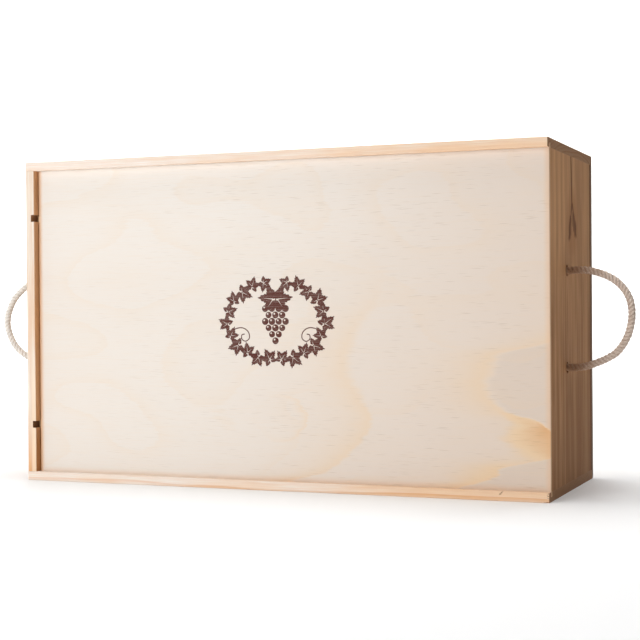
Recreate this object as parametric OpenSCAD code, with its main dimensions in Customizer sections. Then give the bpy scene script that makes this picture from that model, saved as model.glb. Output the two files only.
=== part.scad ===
// Wooden box for twelve bottles, standing on one long side as it is displayed.
// Millimetres. +Z is up, +X is the end that the lid slides out of, -Y is the side that the lid closes.
// The origin is the middle of the face that the box stands on.

/* [Box] */
// Outside length, along X
box_l = 550; // [520:5:650]
// Outside height as it stands, along Z
box_h = 330; // [310:5:380]
// Outside depth from the rim to the back of the bottom panel, along Y
box_d = 200; // [192:2:230]
// Thickness of the two long sides
side_t = 9; // [8:0.5:12]
// Thickness of the two end boards
end_t = 10; // [8:0.5:14]
// Thickness of the plywood bottom panel
panel_t = 5; // [4:0.5:8]
// Worn radius on the bottom panel's lower edge
worn_r = 4; // [1:0.5:4]
// Small chamfer that breaks the boards' sharp edges
arris = 0.5; // [0.2:0.1:0.8]

/* [Lid] */
// Thickness of the plywood lid
lid_t = 4.5; // [3:0.5:6]
// Depth of the lid's face below the rim
lid_recess = 7.5; // [6:0.5:12]
// Depth of the lid's grooves in the long sides
groove_depth = 4.5; // [3:0.25:5]
// Clearance of the lid from each wall of its groove
lid_slack = 0.25; // [0.1:0.05:0.5]
// Clearance between the lid's lower edge and the floor of the lower groove
lid_foot_gap = 0.2; // [0.1:0.05:0.5]
// Play above the lid's upper edge in the upper groove
lid_play = 1.8; // [1:0.1:2.5]
// Gap between the lid and the closed end board
lid_end_gap = 0.5; // [0.5:0.5:4]
// How far the lid stands out past the lowered end board
lid_proud = 0; // [0:0.5:3]

/* [Bottle cradles] */
// Bottles in each of the two layers
places = 6; // [4:1:6]
// Thickness of a cradle board
cradle_t = 6.5; // [5:0.5:10]
// Distance of the cradles from the middle of the box
cradle_offset = 107; // [90:1:115]
// Depth of the slots that hold the cradles, in the end boards
slot_depth = 4; // [2:0.5:5]
// Clearance of a cradle in its slot, on each side and at the ends
slot_slack = 0.25; // [0.1:0.05:0.5]
// Radius of the round cut that holds a bottle's body
body_r = 42.5; // [34:0.5:43]
// Radius of the round cut that holds a bottle's neck
neck_r = 16; // [12:0.5:20]
// Least wood between a body cut and the cradle's far edge
cradle_web = 4; // [3:0.5:6]
// Gap between the front cradles and the lid
cradle_lid_gap = 0.25; // [0.1:0.05:1]

/* [Rope handles] */
// Thickness of the rope
rope_d = 7; // [5:0.5:8]
// Width of the holes that the rope passes through
rope_hole_d = 10.5; // [9:0.5:13]
// Depth of the rope holes below the rim
rope_below_rim = 80; // [60:1:110]
// Distance between the two holes of a handle
rope_pitch = 92; // [80:1:110]
// Gap between a loop's round end and the tail in its hole
rope_root_gap = 0.3; // [0.2:0.05:0.6]
// Width of the knots inside the box
knot_d = 20; // [16:0.5:24]
// Length of the knots inside the box
knot_l = 14; // [12:0.5:16]
// Rounding of a knot's edges
knot_round = 6; // [2:0.5:6]
// Swing of the left loop towards the lid's side, as it stands
left_swing = 25; // [0:1:60]

/* [Nails] */
// Thickness of the nails that join the boards
nail_d = 1.8; // [1.4:0.1:2.2]
// Length of the nails that join the boards
nail_l = 32; // [25:1:40]
// Nails in each corner
nails_per_corner = 4; // [2:1:5]
// Thickness of the nails in the bottom panel
tack_d = 1.4; // [1:0.1:1.8]
// Length of the nails in the bottom panel
tack_l = 20; // [15:1:30]
// Nails along each long edge of the bottom panel
tacks_long = 6; // [3:1:8]
// Nails along each short edge of the bottom panel
tacks_short = 3; // [2:1:4]
// Width of a nail's head as a multiple of its thickness
head_ratio = 2; // [1.6:0.1:2.4]
// Thickness of a nail's head
head_t = 1; // [0.6:0.1:1.5]
// Clearance round a nail in its hole
nail_slack = 0.05; // [0.03:0.01:0.1]
// Distance of the outermost nails from a board's end
nail_margin = 25; // [20:1:35]

/* [Hidden] */
$fn = 64;

// How far a cut reaches past the face that it opens
over = 1;

pine = [0.90, 0.76, 0.60];
shaded_pine = [0.80, 0.64, 0.47];
plywood = [0.93, 0.85, 0.74];
slat_wood = [0.84, 0.70, 0.52];
hemp = [0.80, 0.74, 0.66];
steel = [0.62, 0.62, 0.64];

// Planes of the box
rim_y = -box_d / 2;
back_y = box_d / 2;
panel_y = back_y - panel_t;
end_x = box_l / 2;
bay_x = end_x - end_t;
mid_z = box_h / 2;

// Planes of the lid and its grooves
lid_y0 = rim_y + lid_recess;
lid_y1 = lid_y0 + lid_t;
groove_y0 = lid_y0 - lid_slack;
groove_y1 = lid_y1 + lid_slack;
lid_z0 = side_t - groove_depth + lid_foot_gap;
lid_z1 = box_h - side_t + groove_depth - lid_play;
lid_x0 = -bay_x + lid_end_gap;
lid_x1 = end_x + lid_proud;

// Places of the bottles and their cradles
pitch = 2 * bay_x / places;
cradle_y1 = panel_y;
cradle_y0 = lid_y1 + cradle_lid_gap;
layer_y = [cradle_y1 - cradle_web - body_r, cradle_y0 + cradle_web + body_r];
slot_w = cradle_t + 2 * slot_slack;
cradle_x = bay_x + slot_depth - slot_slack;
cradle_z = [mid_z - cradle_offset, mid_z + cradle_offset];

// Places of the rope and its knots
rope_y = rim_y + rope_below_rim;
rope_z = [mid_z - rope_pitch / 2, mid_z + rope_pitch / 2];
rope_r = rope_d / 2;
loop_root = rope_r + rope_root_gap;
rope_sides = 12;
cap_angles = [90, 60, 30];

// Routes of the loops from the upper hole to the lower one: outwards from the board, height from the middle
right_route = [[10, 46.5], [20, 46], [30, 43.5], [39, 40], [47, 35], [53, 29],
    [57, 23], [60, 15], [61, 6], [60.5, -2], [59, -10], [56, -18],
    [52, -25], [46, -32], [38, -37], [29, -41], [19, -44.5], [10, -46]];
left_route = [[10, 46.5], [20, 46], [30, 44], [39, 41], [47, 36], [53, 30],
    [58, 24], [62, 16], [65, 7], [66, -2], [65, -9], [63, -16],
    [60, -23], [56, -29], [50, -35], [42, -40], [31, -44], [20, -46], [10, -46.5]];

// Places of the nails
corner_ys = spread(groove_y1 + nail_margin, panel_y - nail_margin, nails_per_corner);
tack_xs = spread(-bay_x + nail_margin, bay_x - nail_margin, tacks_long);
tack_zs = spread(cradle_z[0] + nail_margin, cradle_z[1] - nail_margin, tacks_short);
end_mid_x = end_x - end_t / 2;

// count values from a to b, evenly spaced
function spread(a, b, count) = [for (i = [0 : count - 1]) a + (b - a) * i / (count - 1)];

// Radius of the cut at a place: bodies and necks take turns along a row,
// from layer to layer and from side to side
function cut_r(place, layer, side) = (place + layer + side) % 2 == 0 ? body_r : neck_r;

// Rectangle with its four corners cut by c
module eased_rectangle(x0, y0, x1, y1, c) {
    polygon([[x0 + c, y0], [x1 - c, y0], [x1, y0 + c], [x1, y1 - c],
        [x1 - c, y1], [x0 + c, y1], [x0, y1 - c], [x0, y0 + c]]);
}

// Stands a flat shape drawn in Y and Z up, and pulls it along X from x0 to x1
module along_x(x0, x1) {
    translate([x0, 0, 0]) rotate([90, 0, 90]) linear_extrude(x1 - x0) children();
}

// Pulls a flat shape drawn in X and Y up along Z from z0 to z1
module along_z(z0, z1) {
    translate([0, 0, z0]) linear_extrude(z1 - z0) children();
}

// Nail whose head is flush with the plane z = 0 and whose shank points down
module nail(d, l) {
    translate([0, 0, -head_t]) cylinder(h = head_t, d = head_ratio * d);
    translate([0, 0, -l]) cylinder(h = l, d = d);
}

// What a nail takes out of the wood that it is driven into
module nail_hole(d, l) {
    translate([0, 0, -head_t - nail_slack])
        cylinder(h = head_t + nail_slack + over, d = head_ratio * d + 2 * nail_slack);
    translate([0, 0, -l - nail_slack]) cylinder(h = l + nail_slack, d = d + 2 * nail_slack);
}

// At each nail through the long side at the bottom, side = 0, or at the top, side = 1
module at_corner_nails(side) {
    for (x = [-end_mid_x, end_mid_x], y = corner_ys)
        translate([x, y, side * box_h]) rotate([side == 0 ? 180 : 0, 0, 0]) children();
}

// At each nail through the bottom panel into the edges of the four boards
module at_panel_nails() {
    for (x = tack_xs, z = [side_t / 2, box_h - side_t / 2])
        translate([x, back_y, z]) rotate([-90, 0, 0]) children();
    for (x = [-end_mid_x, end_mid_x], z = tack_zs)
        translate([x, back_y, z]) rotate([-90, 0, 0]) children();
}

module panel_nail_holes() {
    at_panel_nails() nail_hole(tack_d, tack_l);
}

// Long side from its outer face at z = 0 to its inner face at z = side_t, with the lid's groove along it
module long_side_profile() {
    difference() {
        eased_rectangle(rim_y, 0, panel_y, side_t, arris);
        translate([groove_y0, side_t - groove_depth]) square([groove_y1 - groove_y0, groove_depth + over]);
    }
}

module long_side(side) {
    difference() {
        translate([0, 0, side * box_h]) mirror([0, 0, side])
            along_x(-end_x, end_x) long_side_profile();
        at_corner_nails(side) nail_hole(nail_d, nail_l);
        panel_nail_holes();
    }
}

// Slots down the inner face of an end board at x = bay_x
module cradle_slots() {
    for (z = cradle_z)
        translate([bay_x - over, rim_y - over, z - slot_w / 2]) cube([slot_depth + over, box_d, slot_w]);
}

// Holes that the rope passes through
module rope_holes() {
    for (z = rope_z)
        translate([bay_x - over, rope_y, z]) rotate([0, 90, 0])
            cylinder(h = end_t + 2 * over, d = rope_hole_d);
}

// End board at the +X end, whose front edge is at y = top_y
module end_board(top_y) {
    difference() {
        along_z(side_t, box_h - side_t) eased_rectangle(bay_x, top_y, end_x, panel_y, arris);
        cradle_slots();
        rope_holes();
        for (side = [0, 1])
            at_corner_nails(side) nail_hole(nail_d, nail_l);
        panel_nail_holes();
    }
}

// Board with round cuts along its edges, in the slots of one side; layers names the bottle layers
// that it holds
module cradle(side, y0, y1, layers) {
    along_z(cradle_z[side] - cradle_t / 2, cradle_z[side] + cradle_t / 2)
        difference() {
            translate([-cradle_x, y0]) square([2 * cradle_x, y1 - y0]);
            for (layer = layers, place = [0 : places - 1])
                translate([(place + 0.5) * pitch - bay_x, layer_y[layer]])
                    circle(r = cut_r(place, layer, side));
        }
}

module back_cradle(side) {
    cradle(side, layer_y[0], cradle_y1, [0]);
}

module middle_cradle(side) {
    cradle(side, layer_y[1], layer_y[0], [0, 1]);
}

module front_cradle(side) {
    cradle(side, cradle_y0, layer_y[1], [1]);
}

// Knot against the inner face of the end board, its axis along +Z from z = 0
module knot() {
    flat_r = knot_d / 2 - knot_round;
    rotate_extrude() {
        square([flat_r, knot_l]);
        translate([0, knot_round]) square([knot_d / 2, knot_l - 2 * knot_round]);
        intersection() {
            square([knot_d, knot_l]);
            for (z = [knot_round, knot_l - knot_round])
                translate([flat_r, z]) circle(r = knot_round);
        }
    }
}

// The two tails in the holes of the +X end board, with their knots inside
module rope_ends() {
    for (z = rope_z)
        translate([bay_x, rope_y, z]) {
            rotate([0, -90, 0]) knot();
            translate([-knot_l / 2, 0, 0]) rotate([0, 90, 0]) cylinder(h = end_t + knot_l / 2, d = rope_d);
        }
}

// Unit direction from a to b
function toward(a, b) = (b - a) / norm(b - a);

// Direction of the path at point i
function tangent(path, i) = toward(path[max(i - 1, 0)], path[min(i + 1, len(path) - 1)]);

// Ring of the loop round point p, across direction t, with radius r: the loop lies in the plane of X and Z
function ring(p, t, r) = [for (k = [0 : rope_sides - 1])
    let (a = 360 * k / rope_sides)
    [p[0] - t[1] * r * cos(a), r * sin(a), p[1] + t[0] * r * cos(a)]];

// Rings of the whole loop, with round ends
function loop_rings(path) = let (last = len(path) - 1, t0 = tangent(path, 0), t1 = tangent(path, last))
    concat(
    [for (a = cap_angles) if (a < 90) ring(path[0] - t0 * rope_r * sin(a), t0, rope_r * cos(a))],
    [for (i = [0 : last]) ring(path[i], tangent(path, i), rope_r)],
    [for (k = [len(cap_angles) - 1 : -1 : 0]) let (a = cap_angles[k]) if (a < 90)
        ring(path[last] + t1 * rope_r * sin(a), t1, rope_r * cos(a))]);

// Tube through a list of rings, closed by a point at each end
module tube(rings, first, last) {
    n = rope_sides;
    m = len(rings);
    points = concat([first], [for (r = rings, p = r) p], [last]);
    polyhedron(points, concat(
        [for (k = [0 : n - 1]) [0, 1 + (k + 1) % n, 1 + k]],
        [for (i = [0 : m - 2], k = [0 : n - 1])
            [1 + i * n + k, 1 + i * n + (k + 1) % n, 1 + (i + 1) * n + k]],
        [for (i = [0 : m - 2], k = [0 : n - 1])
            [1 + i * n + (k + 1) % n, 1 + (i + 1) * n + (k + 1) % n, 1 + (i + 1) * n + k]],
        [for (k = [0 : n - 1]) [1 + m * n, 1 + (m - 1) * n + k, 1 + (m - 1) * n + (k + 1) % n]]));
}

// Loop of rope at the +X end, turned about the line through its two holes
module rope_loop(route, swing) {
    path = concat([[loop_root, rope_pitch / 2]], route, [[loop_root, -rope_pitch / 2]]);
    t0 = tangent(path, 0);
    t1 = tangent(path, len(path) - 1);
    p0 = path[0] - t0 * rope_r;
    p1 = path[len(path) - 1] + t1 * rope_r;
    translate([end_x + loop_root, rope_y, mid_z]) rotate([0, 0, swing]) translate([-loop_root, 0, 0])
        tube(loop_rings(path), [p0[0], 0, p0[1]], [p1[0], 0, p1[1]]);
}

module long_side_lower() {
    color(pine) long_side(0);
}

module long_side_upper() {
    color(pine) long_side(1);
}

module end_board_left() {
    color(pine) mirror([1, 0, 0]) end_board(rim_y);
}

module end_board_right() {
    color(shaded_pine) end_board(groove_y1);
}

module bottom_panel() {
    color(plywood) difference() {
        along_x(-end_x, end_x) difference() {
            square_panel();
            worn_corner();
        }
        panel_nail_holes();
    }
}

module square_panel() {
    translate([panel_y, 0]) square([panel_t, box_h]);
}

// What wear has taken off the bottom panel's lower edge
module worn_corner() {
    difference() {
        translate([back_y - worn_r, -over]) square([worn_r + over, worn_r + over]);
        translate([back_y - worn_r, worn_r]) circle(r = worn_r);
    }
}

module lid() {
    color(plywood) along_z(lid_z0, lid_z1) eased_rectangle(lid_x0, lid_y0, lid_x1, lid_y1, arris);
}

module cradle_lower_back() {
    color(slat_wood) back_cradle(0);
}

module cradle_lower_middle() {
    color(slat_wood) middle_cradle(0);
}

module cradle_lower_front() {
    color(slat_wood) front_cradle(0);
}

module cradle_upper_back() {
    color(slat_wood) back_cradle(1);
}

module cradle_upper_middle() {
    color(slat_wood) middle_cradle(1);
}

module cradle_upper_front() {
    color(slat_wood) front_cradle(1);
}

module rope_loop_left() {
    color(hemp) mirror([1, 0, 0]) rope_loop(left_route, -left_swing);
}

module rope_loop_right() {
    color(hemp) rope_loop(right_route, 0);
}

module rope_ends_left() {
    color(hemp) mirror([1, 0, 0]) rope_ends();
}

module rope_ends_right() {
    color(hemp) rope_ends();
}

module corner_nails_lower() {
    color(steel) at_corner_nails(0) nail(nail_d, nail_l);
}

module corner_nails_upper() {
    color(steel) at_corner_nails(1) nail(nail_d, nail_l);
}

module bottom_nails() {
    color(steel) at_panel_nails() nail(tack_d, tack_l);
}

long_side_lower();
long_side_upper();
end_board_left();
end_board_right();
bottom_panel();
lid();
cradle_lower_back();
cradle_lower_middle();
cradle_lower_front();
cradle_upper_back();
cradle_upper_middle();
cradle_upper_front();
rope_loop_left();
rope_loop_right();
rope_ends_left();
rope_ends_right();
corner_nails_lower();
corner_nails_upper();
bottom_nails();
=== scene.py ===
# %% [markdown]
# # Dressing a pine box for twelve bottles
#
# The box stands on one long side with its sliding lid towards us. Its boards, lid, cradles and nails
# come ready from the imported CAD model, in metres, and they never move. This lesson gives them wood and
# steel to look at, lays twisted rope where the model has plain tubes, and stamps a vine on the lid.
# First we load the model.

# %% Load the imported box
import math
import bpy
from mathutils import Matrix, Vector
from mathutils.geometry import tessellate_polygon


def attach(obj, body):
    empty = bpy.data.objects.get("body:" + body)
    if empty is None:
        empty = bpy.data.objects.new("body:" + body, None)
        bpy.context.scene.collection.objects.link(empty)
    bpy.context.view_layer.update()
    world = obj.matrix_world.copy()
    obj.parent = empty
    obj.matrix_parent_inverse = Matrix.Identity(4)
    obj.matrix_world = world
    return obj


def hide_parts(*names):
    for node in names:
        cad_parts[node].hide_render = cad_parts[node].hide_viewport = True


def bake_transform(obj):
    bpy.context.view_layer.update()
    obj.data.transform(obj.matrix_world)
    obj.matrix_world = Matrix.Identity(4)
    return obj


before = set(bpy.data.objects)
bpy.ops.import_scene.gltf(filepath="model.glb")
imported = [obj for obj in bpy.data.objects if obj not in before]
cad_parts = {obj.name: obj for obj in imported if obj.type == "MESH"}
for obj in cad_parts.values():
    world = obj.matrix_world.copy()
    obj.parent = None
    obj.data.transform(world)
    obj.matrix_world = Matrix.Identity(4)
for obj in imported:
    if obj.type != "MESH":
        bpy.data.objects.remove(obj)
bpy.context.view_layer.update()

MM = 0.001  # the frame is in metres, and a joiner thinks in millimetres
print("nodes:", ", ".join(sorted(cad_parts)))

# %% [markdown]
# ## The camera
#
# The box was photographed from a little to its right, level with its middle, through a long lens. Its
# corners in the picture give the place, the turn and the lens, and these numbers put a Blender camera
# there. A long lens keeps the box's edges nearly parallel, as a product photographer likes them.

# %% Put up the camera
camera_data = bpy.data.cameras.new("camera")
camera_data.sensor_width = 36
camera_data.lens = 81.17
camera = bpy.data.objects.new("camera", camera_data)
camera.location = (0.5685, -1.3799, 0.1806)
camera.rotation_euler = [math.radians(a) for a in (89.378, 0.421, 21.900)]
bpy.context.scene.collection.objects.link(camera)
bpy.context.scene.camera = camera
print("camera", tuple(round(c, 3) for c in camera.location))

# %% [markdown]
# ## The routes of the two ropes
#
# Each handle is one rope of 7 mm. It starts in a knot inside the box, leaves through the upper hole,
# makes a loop and comes back through the lower hole to a second knot. A rope this stiff leaves its hole
# straight and bends in one even curve. The points are those that the CAD model's plain loops follow:
# millimetres out from the board's face, and millimetres above the middle between the two holes. The
# left loop hangs turned a little to the front, round the upright line through its holes.

# %% Give the routes
BOARD_FACE, BOARD_T = 275, 10  # an end board's outer face from the middle of the box, and its thickness
ROPE_Y, MIDDLE_Z, HALF_PITCH = -20, 165, 46  # the holes lie half a pitch above and below the middle
ROOT_OUT = 3.8  # how far out the swing's axis is, where a loop leaves its straight root
TAIL = [(-16, HALF_PITCH), (-10, HALF_PITCH), (-4, HALF_PITCH)]
RIGHT_ROUTE = [(10, 46.5), (20, 46), (30, 43.5), (39, 40), (47, 35), (53, 29), (57, 23), (60, 15), (61, 6),
    (60.5, -2), (59, -10), (56, -18), (52, -25), (46, -32), (38, -37), (29, -41), (19, -44.5), (10, -46)]
LEFT_ROUTE = [(10, 46.5), (20, 46), (30, 44), (39, 41), (47, 36), (53, 30), (58, 24), (62, 16), (65, 7),
    (66, -2), (65, -9), (63, -16), (60, -23), (56, -29), (50, -35), (42, -40), (31, -44), (20, -46),
    (10, -46.5)]
print("route points:", len(RIGHT_ROUTE), "right,", len(LEFT_ROUTE), "left")


def rope_points(route, end, swing):
    """Points of a whole rope at one end of the box, end = 1 or -1, its loop turned by swing degrees."""
    way = TAIL + [(ROOT_OUT, HALF_PITCH)] + route + [(ROOT_OUT, -HALF_PITCH)]
    way += [(out, -up) for out, up in reversed(TAIL)]
    turn = math.radians(swing)
    points = []
    for out, up in way:
        free = max(out - ROOT_OUT, 0)
        x = min(out, ROOT_OUT) + free * math.cos(turn)
        y = ROPE_Y - free * math.sin(turn)
        points.append(Vector((end * (BOARD_FACE + x), y, MIDDLE_Z + up)) * MM)
    return points


# %% [markdown]
# A few points don't make a smooth rope. We draw a Catmull-Rom curve through them, which passes through
# each point, and then walk along it in even steps, so that the rope's twist is even as well.

# %% Draw a smooth line through points
def smooth_line(points, step):
    """Points about step apart on a smooth line through the given ones."""
    ends = [2 * points[0] - points[1], *points, 2 * points[-1] - points[-2]]
    fine = []
    for a, b, c, d in zip(ends, ends[1:], ends[2:], ends[3:]):
        for k in range(32):
            t = k / 32
            fine.append((2 * b + (c - a) * t + (2 * a - 5 * b + 4 * c - d) * t * t
                + (3 * b - a - 3 * c + d) * t ** 3) / 2)
    fine.append(points[-1])
    lengths = [0]
    for a, b in zip(fine, fine[1:]):
        lengths.append(lengths[-1] + (b - a).length)
    count = max(2, round(lengths[-1] / step))
    line, i = [], 0
    for k in range(count + 1):
        want = lengths[-1] * k / count
        while i < len(fine) - 2 and lengths[i + 1] < want:
            i += 1
        line.append(fine[i].lerp(fine[i + 1], (want - lengths[i]) / (lengths[i + 1] - lengths[i])))
    return line, lengths[-1]


ROPE_STEP, LEFT_SWING = 0.55 * MM, 25
rope_line_right, rope_length_right = smooth_line(rope_points(RIGHT_ROUTE, 1, 0), ROPE_STEP)
rope_line_left, rope_length_left = smooth_line(rope_points(LEFT_ROUTE, -1, LEFT_SWING), ROPE_STEP)
print(f"ropes: right {rope_length_right:.3f} m, left {rope_length_left:.3f} m")

# %% [markdown]
# ## Short words for nodes
#
# Geometry and material trees are built from the same kind of parts: a node, its settings, and what goes
# into its sockets. This small class makes a node and joins it up in one line. A value may be a number
# or another node's output. It is used for every tree below, and its short words do the sums.

# %% Make a wiring helper
class Wiring:
    """Makes nodes and joins them in one tree."""

    def __init__(self, tree):
        self.tree = tree

    def node(self, kind, inputs=None, **settings):
        made = self.tree.nodes.new(kind)
        for name, value in settings.items():
            setattr(made, name, value)
        for key, value in (inputs or {}).items():
            if isinstance(value, bpy.types.NodeSocket):
                self.tree.links.new(value, made.inputs[key])
            else:
                made.inputs[key].default_value = value
        return made

    def math(self, operation, *values, clamp=False):
        return self.node("ShaderNodeMath", dict(enumerate(values)),
            operation=operation, use_clamp=clamp).outputs[0]

    def plus(self, first, second, clamp=False):
        return self.math("ADD", first, second, clamp=clamp)

    def minus(self, first, second):
        return self.math("SUBTRACT", first, second)

    def times(self, first, *others):
        for other in others:
            first = self.math("MULTIPLY", first, other)
        return first

    def over(self, first, second, clamp=False):
        return self.math("DIVIDE", first, second, clamp=clamp)

    def most(self, first, *others):
        """The greatest of all values."""
        for other in others:
            first = self.math("MAXIMUM", first, other)
        return first

    def apart(self, value, place):
        """How far value lies from place, on either side."""
        return self.math("ABSOLUTE", self.minus(value, place))

    def stretch(self, vector, by):
        """vector times one number, or times three, one for each axis."""
        if isinstance(by, tuple):
            return self.vector("MULTIPLY", vector, by)
        return self.node("ShaderNodeVectorMath", {0: vector, "Scale": by}, operation="SCALE").outputs[0]

    def vector(self, operation, *values):
        return self.node("ShaderNodeVectorMath", dict(enumerate(values)), operation=operation).outputs[0]

    def join(self, x, y, z):
        return self.node("ShaderNodeCombineXYZ", {0: x, 1: y, 2: z}).outputs[0]

    def split(self, vector):
        return self.node("ShaderNodeSeparateXYZ", {0: vector}).outputs

    def step(self, value, low, high, first=0.0, last=1.0):
        """first below low, last above high, and an easy change between."""
        return self.node("ShaderNodeMapRange", {"Value": value, "From Min": low, "From Max": high,
            "To Min": first, "To Max": last}, interpolation_type="SMOOTHSTEP").outputs[0]

    def noise(self, vector, scale=1.0, detail=2.0, roughness=0.5, output="Fac"):
        return self.node("ShaderNodeTexNoise", {"Vector": vector, "Scale": scale, "Detail": detail,
            "Roughness": roughness}).outputs[output]

    def mix(self, share, first, second, blend="MIX"):
        return self.node("ShaderNodeMix", {0: share, 6: first, 7: second},
            data_type="RGBA", blend_type=blend).outputs[2]

    def place(self):
        """Where a point lies, in metres, in the frame that all pieces share."""
        return self.node("ShaderNodeTexCoord").outputs["Object"]

    def facing(self):
        """How much a surface faces X, Y and Z."""
        return self.split(self.node("ShaderNodeTexCoord").outputs["Normal"])


def socket(tree, name, kind, value=None, side="INPUT"):
    """Adds a named input or output to a tree."""
    made = tree.interface.new_socket(name, in_out=side, socket_type="NodeSocket" + kind)
    if value is not None:
        made.default_value = value
    return made


# %% [markdown]
# ## The rope's twist
#
# Three strands are laid together into a rope. Modelled apart, they would leave hidden faces inside, so
# we sweep one outline instead: the outer edge of three round strands, like a clover leaf. A curve's
# tilt turns the outline as it goes, one turn for each lay length, and the lobes wind round as strands
# do. The tree also stores where each point lies in the rope, so that the yarns can be painted to
# follow it, and sets short loose fibres on the surface, because natural rope is never clean.

# %% Build the rope tree
def build_rope_tree():
    tree = bpy.data.node_groups.new("twisted_rope", "GeometryNodeTree")
    socket(tree, "Line", "Geometry")
    socket(tree, "Rope Radius", "Float", 3.65 * MM)
    socket(tree, "Lay Length", "Float", 12 * MM)
    socket(tree, "Strand Radius", "Float", 0.68)
    socket(tree, "Fibres per Square Metre", "Float", 200000.0)
    socket(tree, "Fibre Length", "Float", 1.6 * MM)
    socket(tree, "Seed", "Int", 1)
    socket(tree, "Material", "Material")
    socket(tree, "Rope", "Geometry", side="OUTPUT")
    w = Wiring(tree)
    given = w.node("NodeGroupInput").outputs

    def store(geometry, name, value, kind="FLOAT"):
        return w.node("GeometryNodeStoreNamedAttribute", {"Geometry": geometry, "Name": name, "Value": value},
            data_type=kind, domain="POINT").outputs[0]

    def stored(name):
        return w.node("GeometryNodeInputNamedAttribute", {"Name": name}, data_type="FLOAT").outputs[0]

    # The tilt along the line, and how near each point is to one of the rope's two roots
    run = w.node("GeometryNodeSplineParameter").outputs["Length"]
    turn = w.times(w.over(run, given["Lay Length"]), math.tau)
    line = w.node("GeometryNodeSetCurveTilt", {"Curve": given["Line"], "Tilt": turn}).outputs[0]
    line = store(store(line, "run", run), "turn", turn)
    factor = w.node("GeometryNodeSplineParameter").outputs["Factor"]
    line = store(line, "root", w.math("MINIMUM", factor, w.minus(1.0, factor)))

    # The outline of three strands: each lies at 1 - its radius from the middle
    circle = w.node("GeometryNodeCurvePrimitiveCircle", {"Resolution": 36, "Radius": 1.0})
    place = w.node("GeometryNodeInputPosition").outputs[0]
    x, y, _ = w.split(place)
    angle = w.math("ARCTAN2", y, x)
    off_crown = w.math("WRAP", angle, math.radians(60), math.radians(-60))
    strand = given["Strand Radius"]
    away = w.minus(1.0, strand)
    across = w.times(away, w.math("SINE", off_crown))
    reach = w.plus(w.times(away, w.math("COSINE", off_crown)),
        w.math("SQRT", w.minus(w.times(strand, strand), w.times(across, across))))
    outline = w.node("GeometryNodeSetPosition", {"Geometry": circle.outputs[0],
        "Position": w.stretch(place, w.times(reach, given["Rope Radius"]))}).outputs[0]
    outline = store(store(outline, "round", angle), "crown", reach)
    tube = w.node("GeometryNodeCurveToMesh", {"Curve": line, "Profile Curve": outline,
        "Fill Caps": True}).outputs[0]

    # Where each point lies in the rope, turned back from the twist
    lie = w.plus(stored("round"), stored("turn"))
    yarn = w.join(w.math("COSINE", lie), w.math("SINE", lie), w.over(stored("run"), MM))
    strands = store(tube, "yarn", yarn, "FLOAT_VECTOR")
    smooth = w.node("GeometryNodeSetShadeSmooth", {"Geometry": strands}).outputs[0]

    # Loose fibres: thin bent hairs of three sides, leaning along the rope
    length = given["Fibre Length"]
    bent = w.node("GeometryNodeCurveQuadraticBezier", {"Resolution": 3, "Start": (0, 0, -0.1 * MM),
        "Middle": w.join(0.0, 0.0, w.times(length, 0.3)),
        "End": w.join(w.times(length, 0.9), 0.0, w.times(length, 0.42))}).outputs[0]
    thin = w.node("GeometryNodeCurvePrimitiveCircle", {"Resolution": 3, "Radius": 0.045 * MM}).outputs[0]
    hair = w.node("GeometryNodeCurveToMesh", {"Curve": bent, "Profile Curve": thin, "Fill Caps": True})
    roots = w.node("GeometryNodeDistributePointsOnFaces", {"Mesh": strands,
        "Density": given["Fibres per Square Metre"], "Seed": given["Seed"]})
    spin = w.node("FunctionNodeRandomValue", {"Min": (0.0, 0.0, 0.0), "Max": (0.0, 0.0, math.tau),
        "Seed": given["Seed"]}, data_type="FLOAT_VECTOR").outputs[0]
    turned = w.node("FunctionNodeRotateRotation", {"Rotation": roots.outputs["Rotation"],
        "Rotate By": w.node("FunctionNodeEulerToRotation", {0: spin}).outputs[0]}, rotation_space="LOCAL")
    size = w.node("FunctionNodeRandomValue", {2: 0.35, 3: 1.0, "Seed": given["Seed"]},
        data_type="FLOAT").outputs[1]
    fibres = w.node("GeometryNodeInstanceOnPoints", {"Points": roots.outputs["Points"],
        "Instance": hair.outputs[0], "Rotation": turned.outputs[0], "Scale": size})
    both = w.node("GeometryNodeJoinGeometry")
    tree.links.new(fibres.outputs[0], both.inputs[0])
    tree.links.new(smooth, both.inputs[0])
    real = w.node("GeometryNodeRealizeInstances", {"Geometry": both.outputs[0]})
    painted = w.node("GeometryNodeSetMaterial", {"Geometry": real.outputs[0], "Material": given["Material"]})
    w.node("NodeGroupOutput", {0: painted.outputs[0]})
    return tree


rope_tree = build_rope_tree()
print("rope tree:", len(rope_tree.nodes), "nodes")

# %% [markdown]
# ## From a tree to a plain mesh
#
# A modifier keeps a tree alive on an object. The model that leaves Blender needs plain meshes, so we
# set the modifier's inputs by their socket's identifier, let Blender work the tree out once, keep the
# result as a mesh and throw the helper object away.

# %% Make the workshop's helpers
def line_object(lines):
    """A curve with one open line for each list of points."""
    data = bpy.data.curves.new("line", "CURVE")
    data.dimensions = "3D"
    for points in lines:
        spline = data.splines.new("POLY")
        spline.points.add(len(points) - 1)
        for spot, point in zip(spline.points, points):
            spot.co = (*point, 1.0)
    made = bpy.data.objects.new("line", data)
    bpy.context.scene.collection.objects.link(made)
    return made


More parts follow.
